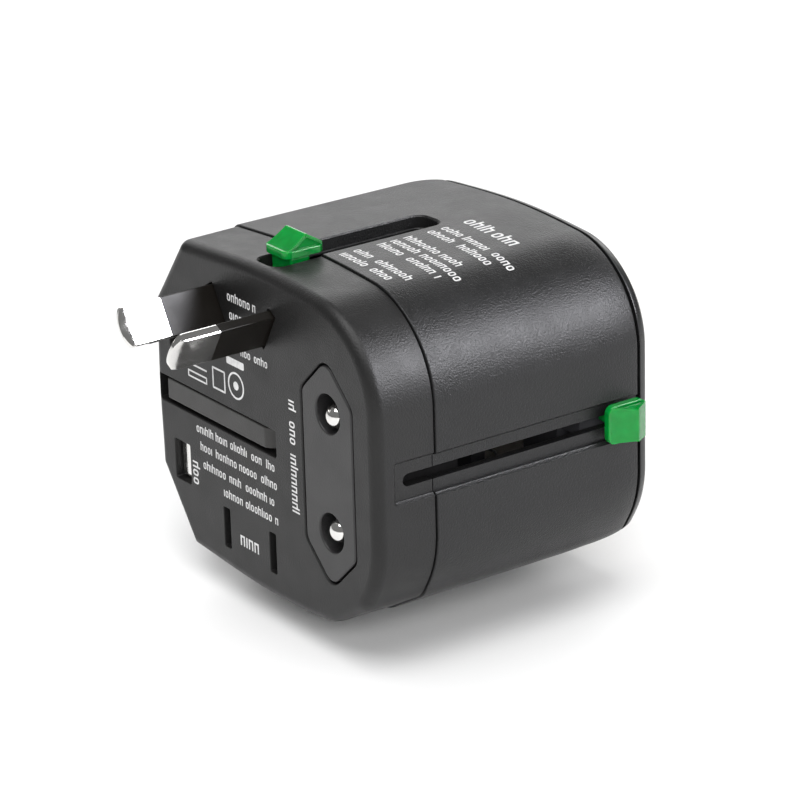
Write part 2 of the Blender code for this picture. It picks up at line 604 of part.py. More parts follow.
for side, label in ((-1, "live"), (1, "neutral")):
    x = SOCKET_X + side * 11.1
    clip = finish(f"{label}_socket_clip", shape(brick, x - 3.1, x + 3.1, 34.5, 43.3, SOCKET_Z - 3.4,
                                                SOCKET_Z + 3.4),
                  at(x, 34.5, SOCKET_Z), BRASS)
    cut(clip, shape(brick, x - 4, x + 4, 35.2, 46, SOCKET_Z - 2.8, SOCKET_Z + 2.8), "jaw")
    bar_x = SOCKET_X + side * 8.0
    finish(f"{label}_bus_bar", shape(brick, bar_x - 0.4, bar_x + 0.4, 11.6, 31.2, -7.0, 7.0),
           at(bar_x, 11.6, 0), BRASS)

fuse = finish("fuse", shape(tube, SOCKET_X, 0.6, [(14.0, 2.5), (29.0, 2.5)], 24), at(SOCKET_X, 14.0, 0.6),
              CERAMIC)
for depth, label in ((13.4, "front"), (24.6, "rear")):
    cap = finish(f"fuse_cap_{label}", shape(tube, SOCKET_X, 0.6, [(depth, 2.9), (depth + 5.0, 2.9)], 24),
                 at(SOCKET_X, depth, 0.6), NICKEL)
    inner = (14.0 - 0.1, 30.0) if label == "front" else (10.0, 29.0 + 0.1)
    cut(cap, shape(tube, SOCKET_X, 0.6, [(inner[0], 2.55), (inner[1], 2.55)], 24), "bore")

shutter = finish("safety_shutter", shape(brick, -18.5, 12.2, 44.4, 46.9, -9.0, 1.6),
                 at(SOCKET_X, 45.6, SOCKET_Z), SLEEVE_PLASTIC)
for n, (x, z, wall_z) in enumerate(SCREWS):
    turned_rings = [(4.6, 0.5), (5.6, 1.05), (17.2, 1.05), (17.2, 1.9), (18.6, 1.9), (19.0, 1.6)]
    screw = finish(f"case_screw_{n + 1}", shape(tube, x, z, turned_rings, 16), at(x, 17.2, z), STEEL)
    for turn in (0, 90):
        a = math.radians(turn)
        arm = rounded([(x + 1.2 * math.cos(a) + 0.25 * math.sin(a),
                        z + 1.2 * math.sin(a) - 0.25 * math.cos(a), 0),
                       (x + 1.2 * math.cos(a) - 0.25 * math.sin(a),
                        z + 1.2 * math.sin(a) + 0.25 * math.cos(a), 0),
                       (x - 1.2 * math.cos(a) - 0.25 * math.sin(a),
                        z - 1.2 * math.sin(a) + 0.25 * math.cos(a), 0),
                       (x - 1.2 * math.cos(a) + 0.25 * math.sin(a),
                        z - 1.2 * math.sin(a) - 0.25 * math.cos(a), 0)])
        cut(screw, shape(prism, arm, 18.2, 20), f"cross_{turn}")

# Return spring of the shutter: a wire wound along z under its lower edge.
SPRING_LOW, SPRING_HIGH, SPRING_TURNS = -21.35, -9.05, 5
path = bpy.data.curves.new("shutter_spring", "CURVE")
path.dimensions = "3D"
path.bevel_depth = 0.22 * MM
path.bevel_resolution = 1
path.use_fill_caps = True
wire = path.splines.new("POLY")
steps = SPRING_TURNS * 14
wire.points.add(steps)
for k in range(steps + 1):
    a = 2 * math.pi * k / 14
    z = SPRING_LOW + 0.25 + (SPRING_HIGH - SPRING_LOW - 0.5) * k / steps
    point = at(SOCKET_X + 1.3 * math.cos(a), 45.7 + 1.3 * math.sin(a), z)
    wire.points[k].co = (*(point - at(SOCKET_X, 45.7, SPRING_LOW)), 1.0)
spring = bpy.data.objects.new("shutter_spring", path)
spring.location = at(SOCKET_X, 45.7, SPRING_LOW)
path.materials.append(STEEL)
bpy.context.scene.collection.objects.link(spring)
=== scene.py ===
"""Looks of the universal travel adapter: finished shells, knobs, pins and printing around the CAD part.

Lengths are in millimetres until `at` turns them into metres. A point is (x, depth, z): x across the
plug face, depth from the plug face into the adapter, z up from the body's centre line.
"""
import math
import random

import bmesh
import bpy
from mathutils import Matrix, Vector


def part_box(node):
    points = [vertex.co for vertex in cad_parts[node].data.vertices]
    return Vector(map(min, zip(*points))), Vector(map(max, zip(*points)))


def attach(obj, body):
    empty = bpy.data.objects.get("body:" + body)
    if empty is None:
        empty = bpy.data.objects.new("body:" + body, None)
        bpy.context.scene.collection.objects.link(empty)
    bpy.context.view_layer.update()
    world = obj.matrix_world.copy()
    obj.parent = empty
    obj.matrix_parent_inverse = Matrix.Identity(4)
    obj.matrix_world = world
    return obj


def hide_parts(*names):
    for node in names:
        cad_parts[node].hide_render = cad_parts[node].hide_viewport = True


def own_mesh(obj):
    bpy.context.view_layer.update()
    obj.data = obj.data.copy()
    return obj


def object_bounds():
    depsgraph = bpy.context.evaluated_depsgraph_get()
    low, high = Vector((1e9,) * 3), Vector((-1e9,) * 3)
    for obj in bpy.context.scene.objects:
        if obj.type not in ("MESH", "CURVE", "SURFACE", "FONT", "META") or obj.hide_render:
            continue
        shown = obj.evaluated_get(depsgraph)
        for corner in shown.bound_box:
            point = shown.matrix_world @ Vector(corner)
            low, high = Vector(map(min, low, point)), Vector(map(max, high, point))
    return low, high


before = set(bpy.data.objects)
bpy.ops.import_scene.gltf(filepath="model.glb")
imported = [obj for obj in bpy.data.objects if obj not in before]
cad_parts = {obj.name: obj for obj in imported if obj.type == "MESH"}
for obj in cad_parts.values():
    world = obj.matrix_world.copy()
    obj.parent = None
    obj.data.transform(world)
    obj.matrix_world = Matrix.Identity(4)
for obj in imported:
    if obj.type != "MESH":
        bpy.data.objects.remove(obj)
scene = bpy.context.scene
MM = 0.001


def plain(bounds):
    return [list(map(float, corner)) for corner in bounds]


cad_bounds = plain(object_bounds())

# ---- frame taken from the CAD nodes ----------------------------------------------------
cap_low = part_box("front_cap")[0]
body_low, body_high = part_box("main_body")
rim_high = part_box("rear_rim")[1]
plate_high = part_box("socket_plate")[1]
rod_low, rod_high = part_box("earth_hinge_rod")
RIGHT, LEFT, TOP, BOTTOM = 31.5, 29.0, 26.0, 25.0
BOW = 1.57
SIDE_BOW = 0.3
FRONT = cap_low.y
MID_X = body_high.x - RIGHT * MM
MID_Z = (rod_low.z + rod_high.z) / 2
SEAM = (body_low.y - FRONT) / MM - 0.15
BODY_END = (body_high.y - FRONT) / MM
RIM_END = (rim_high.y - FRONT) / MM
RIM_START = RIM_END - 1.55
REAR_DEPTH, REAR_INSET = 8.3, 1.43
PLATE_END = (plate_high.y - FRONT) / MM
WALL = 2.4
STEP = 0.3
CAP_TAPER = 0.12
FACE_FILLET = 1.9


def at(x, depth, z):
    """World point in metres for a point given in millimetres."""
    return Vector((MID_X + x * MM, FRONT + depth * MM, MID_Z + z * MM))


def local(point):
    """The millimetre point (x, depth, z) of a world point."""
    return (point.x - MID_X) / MM, (point.y - FRONT) / MM, (point.z - MID_Z) / MM


def node_box(name):
    """Lowest and highest (x, depth, z) of a CAD node in millimetres."""
    low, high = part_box(name)
    return local(low), local(high)


def node_middle(name):
    low, high = node_box(name)
    return tuple((a + b) / 2 for a, b in zip(low, high))


# ---- outlines ---------------------------------------------------------------------------
def arc(before, here, after, radius, step):
    """Points rounding the corner at here between its two neighbours."""
    if radius <= 0:
        return [here]
    back = (before - here).normalized()
    onward = (after - here).normalized()
    half = back.angle(onward) / 2
    centre = here + (back + onward).normalized() * (radius / math.sin(half))
    start = here + back * (radius / math.tan(half)) - centre
    end = here + onward * (radius / math.tan(half)) - centre
    sweep = start.angle(end)
    turn = 1.0 if start.x * end.y - start.y * end.x > 0 else -1.0
    pieces = max(1, math.ceil(math.degrees(sweep) / step - 0.01))
    out = []
    for k in range(pieces + 1):
        a = turn * sweep * k / pieces
        out.append(centre + Vector((start.x * math.cos(a) - start.y * math.sin(a),
                                    start.x * math.sin(a) + start.y * math.cos(a))))
    return out


def rounded(corners, step=6.0):
    """Closed outline through corners (x, z, radius), each rounded by its own radius."""
    points = [Vector(corner[:2]) for corner in corners]
    out = []
    for i, corner in enumerate(corners):
        out += arc(points[i - 1], points[i], points[(i + 1) % len(points)], corner[2], step)
    return out


def grown(loop, distance):
    """Outline moved outwards by distance, or inwards when it is negative."""
    out = []
    for i, here in enumerate(loop):
        a = (here - loop[i - 1]).normalized()
        b = (loop[(i + 1) % len(loop)] - here).normalized()
        na = Vector((a.y, -a.x))
        nb = Vector((b.y, -b.x))
        out.append(here + (na + nb) * (distance / (1.0 + na.dot(nb))))
    return out


def bump(value, reach):
    """Smooth swelling: 1 at the middle, 0 at reach and beyond."""
    return math.cos(math.pi / 2 * value / reach) ** 2 if abs(value) < reach else 0.0


# Corner (x, z, radius, extra radius at the rear end).
BODY_CORNERS = [
    (RIGHT, -13.3, 17.0, 0), (RIGHT, TOP, 15.0, 0), (-20.3, TOP, 2.5, 10.0), (-LEFT, 14.5, 1.8, 0),
    (-LEFT, -13.4, 2.5, 0), (-20.2, -BOTTOM, 1.6, 10.0), (17.7, -BOTTOM, 11.0, 0), (27.3, -20.1, 5.0, 0),
]


def body_outline(inset, softness=0.0, spacing=1.0, step=3.0):
    """Cross-section of the body moved inwards by inset, anticlockwise seen from the front.

    Softness runs from 0 along the body to 1 at its rear end, where two corners grow rounder.
    """
    points = [Vector(corner[:2]) for corner in BODY_CORNERS]
    shrunk = grown(points, -inset)
    count = len(points)
    arcs = []
    for i in range(count):
        radius = max(BODY_CORNERS[i][2] - inset, 0.3) + BODY_CORNERS[i][3] * softness
        arcs.append(arc(shrunk[i - 1], shrunk[i], shrunk[(i + 1) % count], radius, step))
    out = []
    for i in range(count):
        out += arcs[i]
        there = arcs[(i + 1) % count][0]
        pieces = max(1, round((points[(i + 1) % count] - points[i]).length / spacing) - 2)
        out += [arcs[i][-1].lerp(there, k / pieces) for k in range(1, pieces)]
    bowed = []
    for p in out:
        x, z = p
        share = min(max((abs(z) - 12.0) / 6.0, 0.0), 1.0)
        if x < -22.5:
            x -= SIDE_BOW * bump(z, 13.0)
        z += math.copysign(BOW * bump(x - 2.0, 31.5) * share, z)
        bowed.append(Vector((x, z)))
    return bowed


def rear_section(depth, inset=0.0):
    """Outline near the rear end, where the body curves inwards as a quarter ellipse."""
    along = max(0.0, 1 - (RIM_END - depth) / REAR_DEPTH)
    soft = 1 - math.sqrt(1 - min(along, 1.0) ** 2)
    return body_outline(REAR_INSET * soft + inset, soft)


def rectangle(x0, x1, z0, z1, radius=0.0, step=11.25):
    return rounded([(x1, z0, radius), (x1, z1, radius), (x0, z1, radius), (x0, z0, radius)], step)


def circle(x, z, radius, sides=48):
    return [Vector((x + radius * math.cos(2 * math.pi * k / sides),
                    z + radius * math.sin(2 * math.pi * k / sides))) for k in range(sides)]


def turned(outline, x, z, degrees):
    """Outline about the origin, leaned to the right by degrees and moved to (x, z)."""
    turn = Matrix.Rotation(-math.radians(degrees), 2)
    return [Vector((x, z)) + turn @ p for p in outline]


def upright_slot(x, z, width, thick, degrees=0.0, radius=0.0):
    flat = rectangle(-thick / 2, thick / 2, -width / 2, width / 2, radius)
    return turned(flat, x, z, degrees)


# ---- solids -----------------------------------------------------------------------------
def skin(mesh, rings):
    """Closed skin through rings of world points, all with the same number of points."""
    made = [[mesh.verts.new(p) for p in ring] for ring in rings]
    count = len(made[0])
    for a, b in zip(made, made[1:]):
        for i in range(count):
            j = (i + 1) % count
            mesh.faces.new((a[i], a[j], b[j], b[i]))
    mesh.faces.new(made[0])
    mesh.faces.new(made[-1])
    return mesh


def loft(mesh, rings):
    """Closed skin through rings of (depth, outline)."""
    return skin(mesh, [[at(p.x, depth, p.y) for p in loop] for depth, loop in rings])


def prism(mesh, outline, depth0, depth1):
    return loft(mesh, [(depth0, outline), (depth1, outline)])


def quarter(count=5):
    """Steps (sine, one minus cosine) of a quarter turn."""
    return [(math.sin(math.pi / 2 * k / count), 1 - math.cos(math.pi / 2 * k / count))
            for k in range(count + 1)]


def lipped(mesh, outline, surface, bottom, lip, steps=4):
    """Cutter for an opening in a face at depth surface, with a rounded edge of radius lip."""
    rings = [(surface - 2.0, grown(outline, lip))]
    for rise, run in reversed(quarter(steps)):
        rings.append((surface + lip * (1 - rise), grown(outline, lip * run)))
    rings.append((bottom, outline))
    return loft(mesh, rings)


def eased(mesh, outline, depth0, depth1, edge, steps=4):
    """Prism with its front end rounded by edge."""
    rings = [(depth0 + edge * run, grown(outline, -edge * (1 - rise))) for rise, run in quarter(steps)]
    return loft(mesh, rings + [(depth1, outline)])


def tube(mesh, x, z, rings, sides=48):
    """Round solid along the depth axis through rings of (depth, radius)."""
    return loft(mesh, [(depth, circle(x, z, radius, sides)) for depth, radius in rings])


def brick(mesh, x0, x1, depth0, depth1, z0, z1):
    return prism(mesh, rectangle(x0, x1, z0, z1), depth0, depth1)


def upright(mesh, plan, z0, z1, edge=0.0, steps=3):
    """Solid standing along z over a plan outline of (x, depth) points, its rims rounded by edge."""
    levels = [(z0, 0.0), (z1, 0.0)]
    if edge > 0:
        rise_run = quarter(steps)
        levels = [(z0 + edge * run, edge * (1 - rise)) for rise, run in rise_run]
        levels += [(z1 - edge * run, edge * (1 - rise)) for rise, run in reversed(rise_run)]
    return skin(mesh, [[at(p.x, p.y, z) for p in grown(plan, -inset)] for z, inset in levels])


def shape(maker, *details, **extra):
    mesh = bmesh.new()
    maker(mesh, *details, **extra)
    return mesh


def raw(name, mesh):
    bmesh.ops.recalc_face_normals(mesh, faces=mesh.faces)
    if mesh.calc_volume(signed=True) < 0:
        bmesh.ops.reverse_faces(mesh, faces=mesh.faces)
    data = bpy.data.meshes.new(name)
    mesh.to_mesh(data)
    mesh.free()
    made = bpy.data.objects.new(name, data)
    scene.collection.objects.link(made)
    return made


def carved(name, mesh, changes, smooth_angle=30.0):
    """Object from a mesh after a list of (operation, mesh) changes."""
    target = raw(name, mesh)
    tools = []
    for n, (operation, tool_mesh) in enumerate(changes):
        tool = raw(f"{name}_tool_{n}", tool_mesh)
        tools.append(tool)
        change = target.modifiers.new(f"change_{n}", "BOOLEAN")
        change.operation = operation
        change.object = tool
        change.solver = "EXACT"
    if changes:
        ready = target.evaluated_get(bpy.context.evaluated_depsgraph_get())
        done = bpy.data.meshes.new_from_object(ready)
        target.modifiers.clear()
        target.data = done
        for tool in tools:
            bpy.data.objects.remove(tool)
    target.data.shade_smooth()
    target.data.set_sharp_from_angle(angle=math.radians(smooth_angle))
    weigh = target.modifiers.new("even_normals", "WEIGHTED_NORMAL")
    weigh.keep_sharp = True
    weigh.weight = 50
    return target


def minus(mesh):
    return ("DIFFERENCE", mesh)


def plus(mesh):
    return ("UNION", mesh)


def place(piece, body, look, slot, *nodes):
    """Gives a finished piece its material and its body, and hides the CAD nodes it stands for; the slot
    argument is not used.
    """
    piece.data.materials.clear()
    piece.data.materials.append(look)
    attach(piece, body)
    if nodes:
        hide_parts(*nodes)


# ---- materials --------------------------------------------------------------------------
class Look:
    """Small helper for building a material's node tree."""

    def __init__(self, name):
        self.material = bpy.data.materials.new(name)
        self.material.use_nodes = True
        self.tree = self.material.node_tree
        self.shader = self.tree.nodes["Principled BSDF"]
        self.where = self.tree.nodes.new("ShaderNodeTexCoord").outputs["Object"]

    def node(self, kind, **settings):
        made = self.tree.nodes.new(kind)
        for key, value in settings.items():
            setattr(made, key, value)
        return made

    def link(self, source, target):
        self.tree.links.new(source, target)

    def set(self, **values):
        for key, value in values.items():
            self.shader.inputs[key.replace("_", " ")].default_value = value

    def noise(self, scale, detail=2.0, roughness=0.5, stretch=None):
        texture = self.node("ShaderNodeTexNoise")
        texture.inputs["Scale"].default_value = scale
        texture.inputs["Detail"].default_value = detail
        texture.inputs["Roughness"].default_value = roughness
        if stretch:
            mapping = self.node("ShaderNodeMapping")
            mapping.inputs["Scale"].default_value = stretch
            self.link(self.where, mapping.inputs["Vector"])
            self.link(mapping.outputs["Vector"], texture.inputs["Vector"])
        else:
            self.link(self.where, texture.inputs["Vector"])
        return texture.outputs["Fac"]

    def ramp(self, source, low, high, start=0.3, end=0.7):
        """Colour between low and high as the source runs from start to end."""
        made = self.node("ShaderNodeValToRGB")
        made.color_ramp.elements[0].position = start
        made.color_ramp.elements[1].position = end
        made.color_ramp.elements[0].color = (*low, 1.0)
        made.color_ramp.elements[1].color = (*high, 1.0)
        self.link(source, made.inputs["Fac"])
        return made.outputs["Color"]

    def range(self, source, low, high, start=0.3, end=0.7):
        made = self.node("ShaderNodeMapRange")
        made.inputs["From Min"].default_value = start
        made.inputs["From Max"].default_value = end
        made.inputs["To Min"].default_value = low
        made.inputs["To Max"].default_value = high
        self.link(source, made.inputs["Value"])
        return made.outputs["Result"]

    def bump(self, source, strength, distance):
        made = self.node("ShaderNodeBump")
        made.inputs["Strength"].default_value = strength
        made.inputs["Distance"].default_value = distance
        self.link(source, made.inputs["Height"])
        return made.outputs["Normal"]


def scaled(colour, factor):
    return tuple(c * factor for c in colour)


def plastic(name, colour, roughness, grain=3600.0, grain_strength=0.25, spread=0.12, cloud=90.0, gloss=0.5):
    """Moulded plastic: faint clouding, uneven gloss and a fine spark-eroded grain."""
    look = Look(name)
    look.link(look.ramp(look.noise(cloud, 3.0), scaled(colour, 1 - spread), scaled(colour, 1 + spread)),
              look.shader.inputs["Base Color"])
    look.link(look.range(look.noise(cloud * 3, 4.0), roughness - 0.04, roughness + 0.04),
              look.shader.inputs["Roughness"])
    fine = look.bump(look.noise(grain, 2.0, 0.6), grain_strength, 0.0001)
    look.link(fine, look.shader.inputs["Normal"])
    look.set(Specular_IOR_Level=gloss)
    return look.material


def metal(name, colour, roughness, stretch, scratch=0.08, spread=0.06):
    """Plated or plain metal with faint drawn lines."""
    look = Look(name)
    lines = look.noise(900.0, 3.0, 0.6, stretch)
    look.link(look.ramp(look.noise(140.0, 3.0), scaled(colour, 1 - spread), scaled(colour, 1 + spread)),
              look.shader.inputs["Base Color"])
    look.link(look.range(lines, max(roughness - 0.05, 0.02), roughness + 0.07),
              look.shader.inputs["Roughness"])
    look.link(look.bump(lines, scratch, 0.00001), look.shader.inputs["Normal"])
    look.set(Metallic=1.0)
    return look.material


def tinted(name, colour):
    """Clear-tinted green plastic that glows where light enters it."""
    look = Look(name)
    look.link(look.ramp(look.noise(500.0, 2.0), scaled(colour, 0.85), scaled(colour, 1.15)),
              look.shader.inputs["Base Color"])
    look.link(look.range(look.noise(1800.0, 2.0), 0.08, 0.16), look.shader.inputs["Roughness"])
    look.link(look.bump(look.noise(700.0, 2.0), 0.05, 0.00003), look.shader.inputs["Normal"])
    look.set(Subsurface_Weight=0.6, Subsurface_Scale=0.0015, Subsurface_Radius=(0.15, 1.0, 0.25),
             Transmission_Weight=0.15, IOR=1.49, Specular_IOR_Level=0.4)
    return look.material


CAP_LOOK = plastic("cap_plastic", (0.010, 0.0098, 0.0098), 0.40, grain_strength=0.6, gloss=0.32)
BODY_LOOK = plastic("body_plastic", (0.009, 0.009, 0.0093), 0.34, grain_strength=0.9, gloss=0.33)
RIM_LOOK = plastic("rim_plastic", (0.008, 0.008, 0.0083), 0.30)
PLATE_LOOK = plastic("plate_plastic", (0.58, 0.55, 0.51), 0.45, grain_strength=0.15, spread=0.04)
INSERT_LOOK = plastic("insert_plastic", (0.016, 0.0155, 0.016), 0.38, grain_strength=0.4)
EARTH_LOOK = plastic("earth_pin_plastic", (0.020, 0.019, 0.018), 0.42, grain_strength=0.4)
SLEEVE_LOOK = plastic("sleeve_plastic", (0.0065, 0.0055, 0.0045), 0.34, grain_strength=0.2, gloss=0.33)
SHUTTER_LOOK = plastic("shutter_plastic", (0.02, 0.02, 0.02), 0.4, grain_strength=0.1)
CARRIER_LOOK = plastic("carrier_plastic", (0.62, 0.60, 0.53), 0.5, grain_strength=0.2)
FRAME_AND_SHADE_LOOK = plastic("contact_frame_and_painted_shade_plastic", (0.05, 0.05, 0.055), 0.5, grain_strength=0.2)
CERAMIC_LOOK = plastic("fuse_ceramic", (0.75, 0.73, 0.68), 0.3, grain_strength=0.05, spread=0.03)
INK_LOOK = plastic("print_ink", (0.66, 0.66, 0.66), 0.5, 6000.0, 0.2, 0.12, 1500.0)
GREEN_LOOK = tinted("green_knob_plastic", (0.001, 0.25, 0.035))
CHROME_LOOK = metal("nickel_plate", (0.80, 0.79, 0.77), 0.10, (1.0, 0.08, 1.0))
BRASS_LOOK = metal("brass_contact", (0.72, 0.52, 0.22), 0.28, (1.0, 0.1, 1.0), 0.15)
STEEL_LOOK = metal("steel_plain", (0.56, 0.56, 0.57), 0.30, (1.0, 1.0, 0.1), 0.15)

# The European, American and British carriers are ivory plastic like the Australian one, but take the dark
# contact frame plastic as painted shade in their slots.
inner_looks = {
    "eu_carrier": FRAME_AND_SHADE_LOOK, "aus_carrier": CARRIER_LOOK, "us_carrier": FRAME_AND_SHADE_LOOK, "uk_carrier": FRAME_AND_SHADE_LOOK,
    "contact_frame": FRAME_AND_SHADE_LOOK, "live_socket_clip": BRASS_LOOK, "neutral_socket_clip": BRASS_LOOK,
    "live_bus_bar": BRASS_LOOK, "neutral_bus_bar": BRASS_LOOK, "fuse": CERAMIC_LOOK,
    "fuse_cap_front": CHROME_LOOK, "fuse_cap_rear": CHROME_LOOK, "safety_shutter": SHUTTER_LOOK,
    "earth_hinge_rod": STEEL_LOOK,
}
for n in range(1, 5):
    inner_looks[f"case_screw_{n}"] = STEEL_LOOK
for name, look in inner_looks.items():
    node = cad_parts[name]
    node.data.materials.clear()
    node.data.materials.append(look)

# ---- plug layouts, placed from the CAD pins ----------------------------------------------
AUS = {side: node_middle(f"aus_blade_{name}") for side, name in ((-1, "left"), (1, "right"))}
US = {side: node_middle(f"us_blade_{name}") for side, name in ((-1, "left"), (1, "right"))}
UK = {side: node_middle(f"uk_pin_{name}") for side, name in ((-1, "lower"), (1, "upper"))}
EU = {side: node_middle(f"eu_pin_{name}") for side, name in ((-1, "lower"), (1, "upper"))}
AUS_WIDTH, AUS_THICK, AUS_TILT = 6.35, 1.63, 30.0
US_WIDTH, US_THICK = 6.3, 1.5
UK_HALF_WIDTH, UK_HALF_HEIGHT, UK_EDGE = 1.98, 3.17, 0.35
EU_SPACING, EU_PIN_R, EU_HOLE_R = 19.0, 2.0, 3.05
PIVOT_X, PIVOT_DEPTH = node_middle("earth_hinge_rod")[:2]
block_low, block_high = node_box("eu_plug_block")
BLOCK_X = (block_low[0] + block_high[0]) / 2
BLOCK_Z = (block_low[2] + block_high[2]) / 2
BLOCK_END = block_high[1]


def hexagon(extra=0.0):
    """Outline of the European plug block."""
    w, h, s = 6.35, 18.05, 12.0
    corners = [(w, -s, 2.0), (w, s, 2.0), (0.0, h, 2.2), (-w, s, 2.0), (-w, -s, 2.0), (0.0, -h, 2.2)]
    return grown([p + Vector((BLOCK_X, BLOCK_Z)) for p in rounded(corners, 6.0)], extra)


# ---- channels on the four sides -----------------------------------------------------------
SIDES = {
    "top": {"out": (0, 1), "across": (1, 0), "surface": TOP + BOW, "centre": 0.3},
    "bottom": {"out": (0, -1), "across": (1, 0), "surface": BOTTOM + BOW, "centre": 0.3},
    "right": {"out": (1, 0), "across": (0, 1), "surface": RIGHT, "centre": 0.9},
    "left": {"out": (-1, 0), "across": (0, 1), "surface": LEFT + SIDE_BOW, "centre": 0.9},
}


# Half width of a track, a height that is well inside the adapter, and (height, widening) of the walls.
TRACK_HALF, THROUGH_WALL = 3.0, -8.0
TRACK_LEVELS = [(0.06, 0.5), (-0.08, 0.38), (-0.38, 0.16), (-0.5, 0.0)]
TOP_SLOT_LEVELS = [(0.0, 0.26), (-0.34, 0.0), (-2.08, -0.04), (-2.2, -0.2), (-2.24, -0.21)]


def on_side(side, across, depth, height):
    """World point across the channel, along the depth and outwards from the body's surface."""
    s = SIDES[side]
    out = s["surface"] + height
    sideways = s["centre"] + across
    return at(s["out"][0] * out + s["across"][0] * sideways, depth,
              s["out"][1] * out + s["across"][1] * sideways)


def cap_inset(depth):
    return STEP + CAP_TAPER * (SEAM - depth) / SEAM


def trench(mesh, side, half, depth0, depth1, low, radius, levels, on_cap):
    """Cutter sunk into a side from above its surface down to low.

    Levels are pairs of a height and how much wider the opening is there.
    """
    outline = rectangle(-half, half, depth0, depth1, radius)
    levels = [(2.5, levels[0][1])] + levels + [(low, levels[-1][1])]
    rings = []
    for height, extra in levels:
        ring = []
        for p in grown(outline, extra):
            drop = cap_inset(max(p.y, 0.0)) if on_cap and height > low + 0.01 else 0.0
            ring.append(on_side(side, p.x, p.y, height - drop))
        rings.append(ring)
    return skin(mesh, rings)


def channel_cuts(on_cap):
    """Cutters for the tracks and slots that the four knobs slide in."""
    cuts = [minus(shape(trench, "top", TRACK_HALF, 2.3, 33.3, THROUGH_WALL, 1.9, TOP_SLOT_LEVELS, on_cap))]
    tracks = [("right", 3.7, 60.0, 5.2, 48.4), ("bottom", 3.7, 31.6, 5.2, 30.2)]
    if not on_cap:
        tracks.append(("left", 11.5, 39.0, 12.9, 37.4))
    for side, track0, track1, slot0, slot1 in tracks:
        cuts.append(minus(shape(trench, side, TRACK_HALF, track0, track1, -1.0, 0.25, TRACK_LEVELS, on_cap)))
        cuts.append(minus(shape(trench, side, 1.0, slot0, slot1, THROUGH_WALL, 0.99, [(0.0, 0.0)], on_cap)))
    return cuts


# ---- front cap ----------------------------------------------------------------------------
cap_rings = []
for k in range(13):
    a = math.radians(7.5 * k)
    depth = FACE_FILLET * (1 - math.cos(a))
    cap_rings.append((depth, body_outline(cap_inset(depth) + FACE_FILLET * (1 - math.sin(a)))))
for depth in (4.0, 5.5, 7.0, 8.5, 9.6):
    cap_rings.append((depth, body_outline(cap_inset(depth))))
cap_rings.append((SEAM - 0.1, body_outline(cap_inset(SEAM - 0.1))))
cap_rings.append((SEAM, body_outline(cap_inset(SEAM) + 0.08)))
cap_cuts = [
    minus(shape(prism, body_outline(STEP + CAP_TAPER + WALL, 0.0, 3.0, 9.0), 2.2, SEAM + 2)),
    plus(shape(brick, -27.9, 7.4, 1.0, 10.1, -4.2, 4.2)),
    minus(shape(lipped, rectangle(-27.8, 4.95, -2.15, 2.15, 0.3), 0.0, 8.45, 0.22)),
    minus(shape(lipped, hexagon(0.3), 0.0, 4.0, 0.3)),
]
for side in (-1, 1):
    x, depth, z = AUS[side]
    outline = upright_slot(x, z, AUS_WIDTH + 0.5, AUS_THICK + 0.5, side * AUS_TILT, 0.2)
    cap_cuts.append(minus(shape(lipped, outline, 0.0, 4.0, 0.15)))
    x, depth, z = US[side]
    outline = upright_slot(x, z, US_WIDTH + 0.3, US_THICK + 0.25, 0, 0.25)
    cap_cuts.append(minus(shape(lipped, outline, 0.0, 4.0, 0.15)))
    x, depth, z = UK[side]
    outline = rectangle(x - 2.15, x + 2.15, z - 3.3, z + 3.3, 0.3)
    cap_cuts.append(minus(shape(lipped, outline, 0.0, 4.0, 0.18)))
cap_cuts += channel_cuts(True)
cap = carved("cap_shell", shape(loft, cap_rings), cap_cuts)
place(cap, "housing", CAP_LOOK, "charcoal_cap_plastic", "front_cap")

# ---- body shell ---------------------------------------------------------------------------
body_rings = [(SEAM + 0.15, body_outline(0.25))]
for rise, run in quarter(5):
    body_rings.append((SEAM + 0.15 + 0.22 * run, body_outline(0.2 * (1 - rise))))
straight = RIM_END - REAR_DEPTH - SEAM - 0.6
for k in range(1, 13):
    body_rings.append((SEAM + 0.6 + straight * k / 12, body_outline(0.0)))
for k in range(1, 12):
    depth = RIM_END - REAR_DEPTH + (BODY_END - 0.25 - RIM_END + REAR_DEPTH) * k / 11
    body_rings.append((depth, rear_section(depth)))
for rise, run in reversed(quarter(5)[:-1]):
    body_rings.append((BODY_END - 0.25 * run, rear_section(BODY_END - 0.25 * run, 0.25 * (1 - rise))))
body_cuts = [minus(shape(prism, body_outline(WALL, 0.0, 3.0, 9.0), SEAM - 3, BODY_END + 3))]
body_cuts += channel_cuts(False)
shell = carved("body_shell", shape(loft, body_rings), body_cuts)
place(shell, "housing", BODY_LOOK, "charcoal_body_plastic", "main_body")

# ---- rear rim and socket plate --------------------------------------------------------------
tongue = body_outline(WALL + 0.25)
rim_rings = [(46.2, tongue), (RIM_START, tongue)]
for rise, run in quarter(4):
    depth = RIM_START + 0.15 * run
    rim_rings.append((depth, rear_section(depth, 0.15 * (1 - rise))))
for k in range(1, 11):
    depth = RIM_START + 0.15 + (RIM_END - RIM_START - 0.15) * math.sin(math.pi / 2 * k / 10)
    rim_rings.append((depth, rear_section(depth)))
rim_cuts = [
    minus(shape(prism, body_outline(WALL + 1.45, 0.0, 3.0, 9.0), 40, 60)),
    minus(shape(prism, body_outline(1.9, 1.0), RIM_START + 0.55, 60)),
    minus(shape(brick, 27.0, 33.0, 40.0, 47.6, -2.5, 4.3)),
]
rim = carved("rim_ring", shape(loft, rim_rings), rim_cuts)
place(rim, "housing", RIM_LOOK, "charcoal_rim_plastic", "rear_rim")

plate_rings = [(RIM_START + 0.75, body_outline(2.15, 1.0))]
for rise, run in reversed(quarter(7)):
    plate_rings.append((PLATE_END - 0.9 * run, body_outline(2.15 + 0.9 * (1 - rise), 1.0)))
SOCKET_X, SOCKET_Z = node_middle("live_socket_clip")[0] + 11.1, node_middle("live_socket_clip")[2]


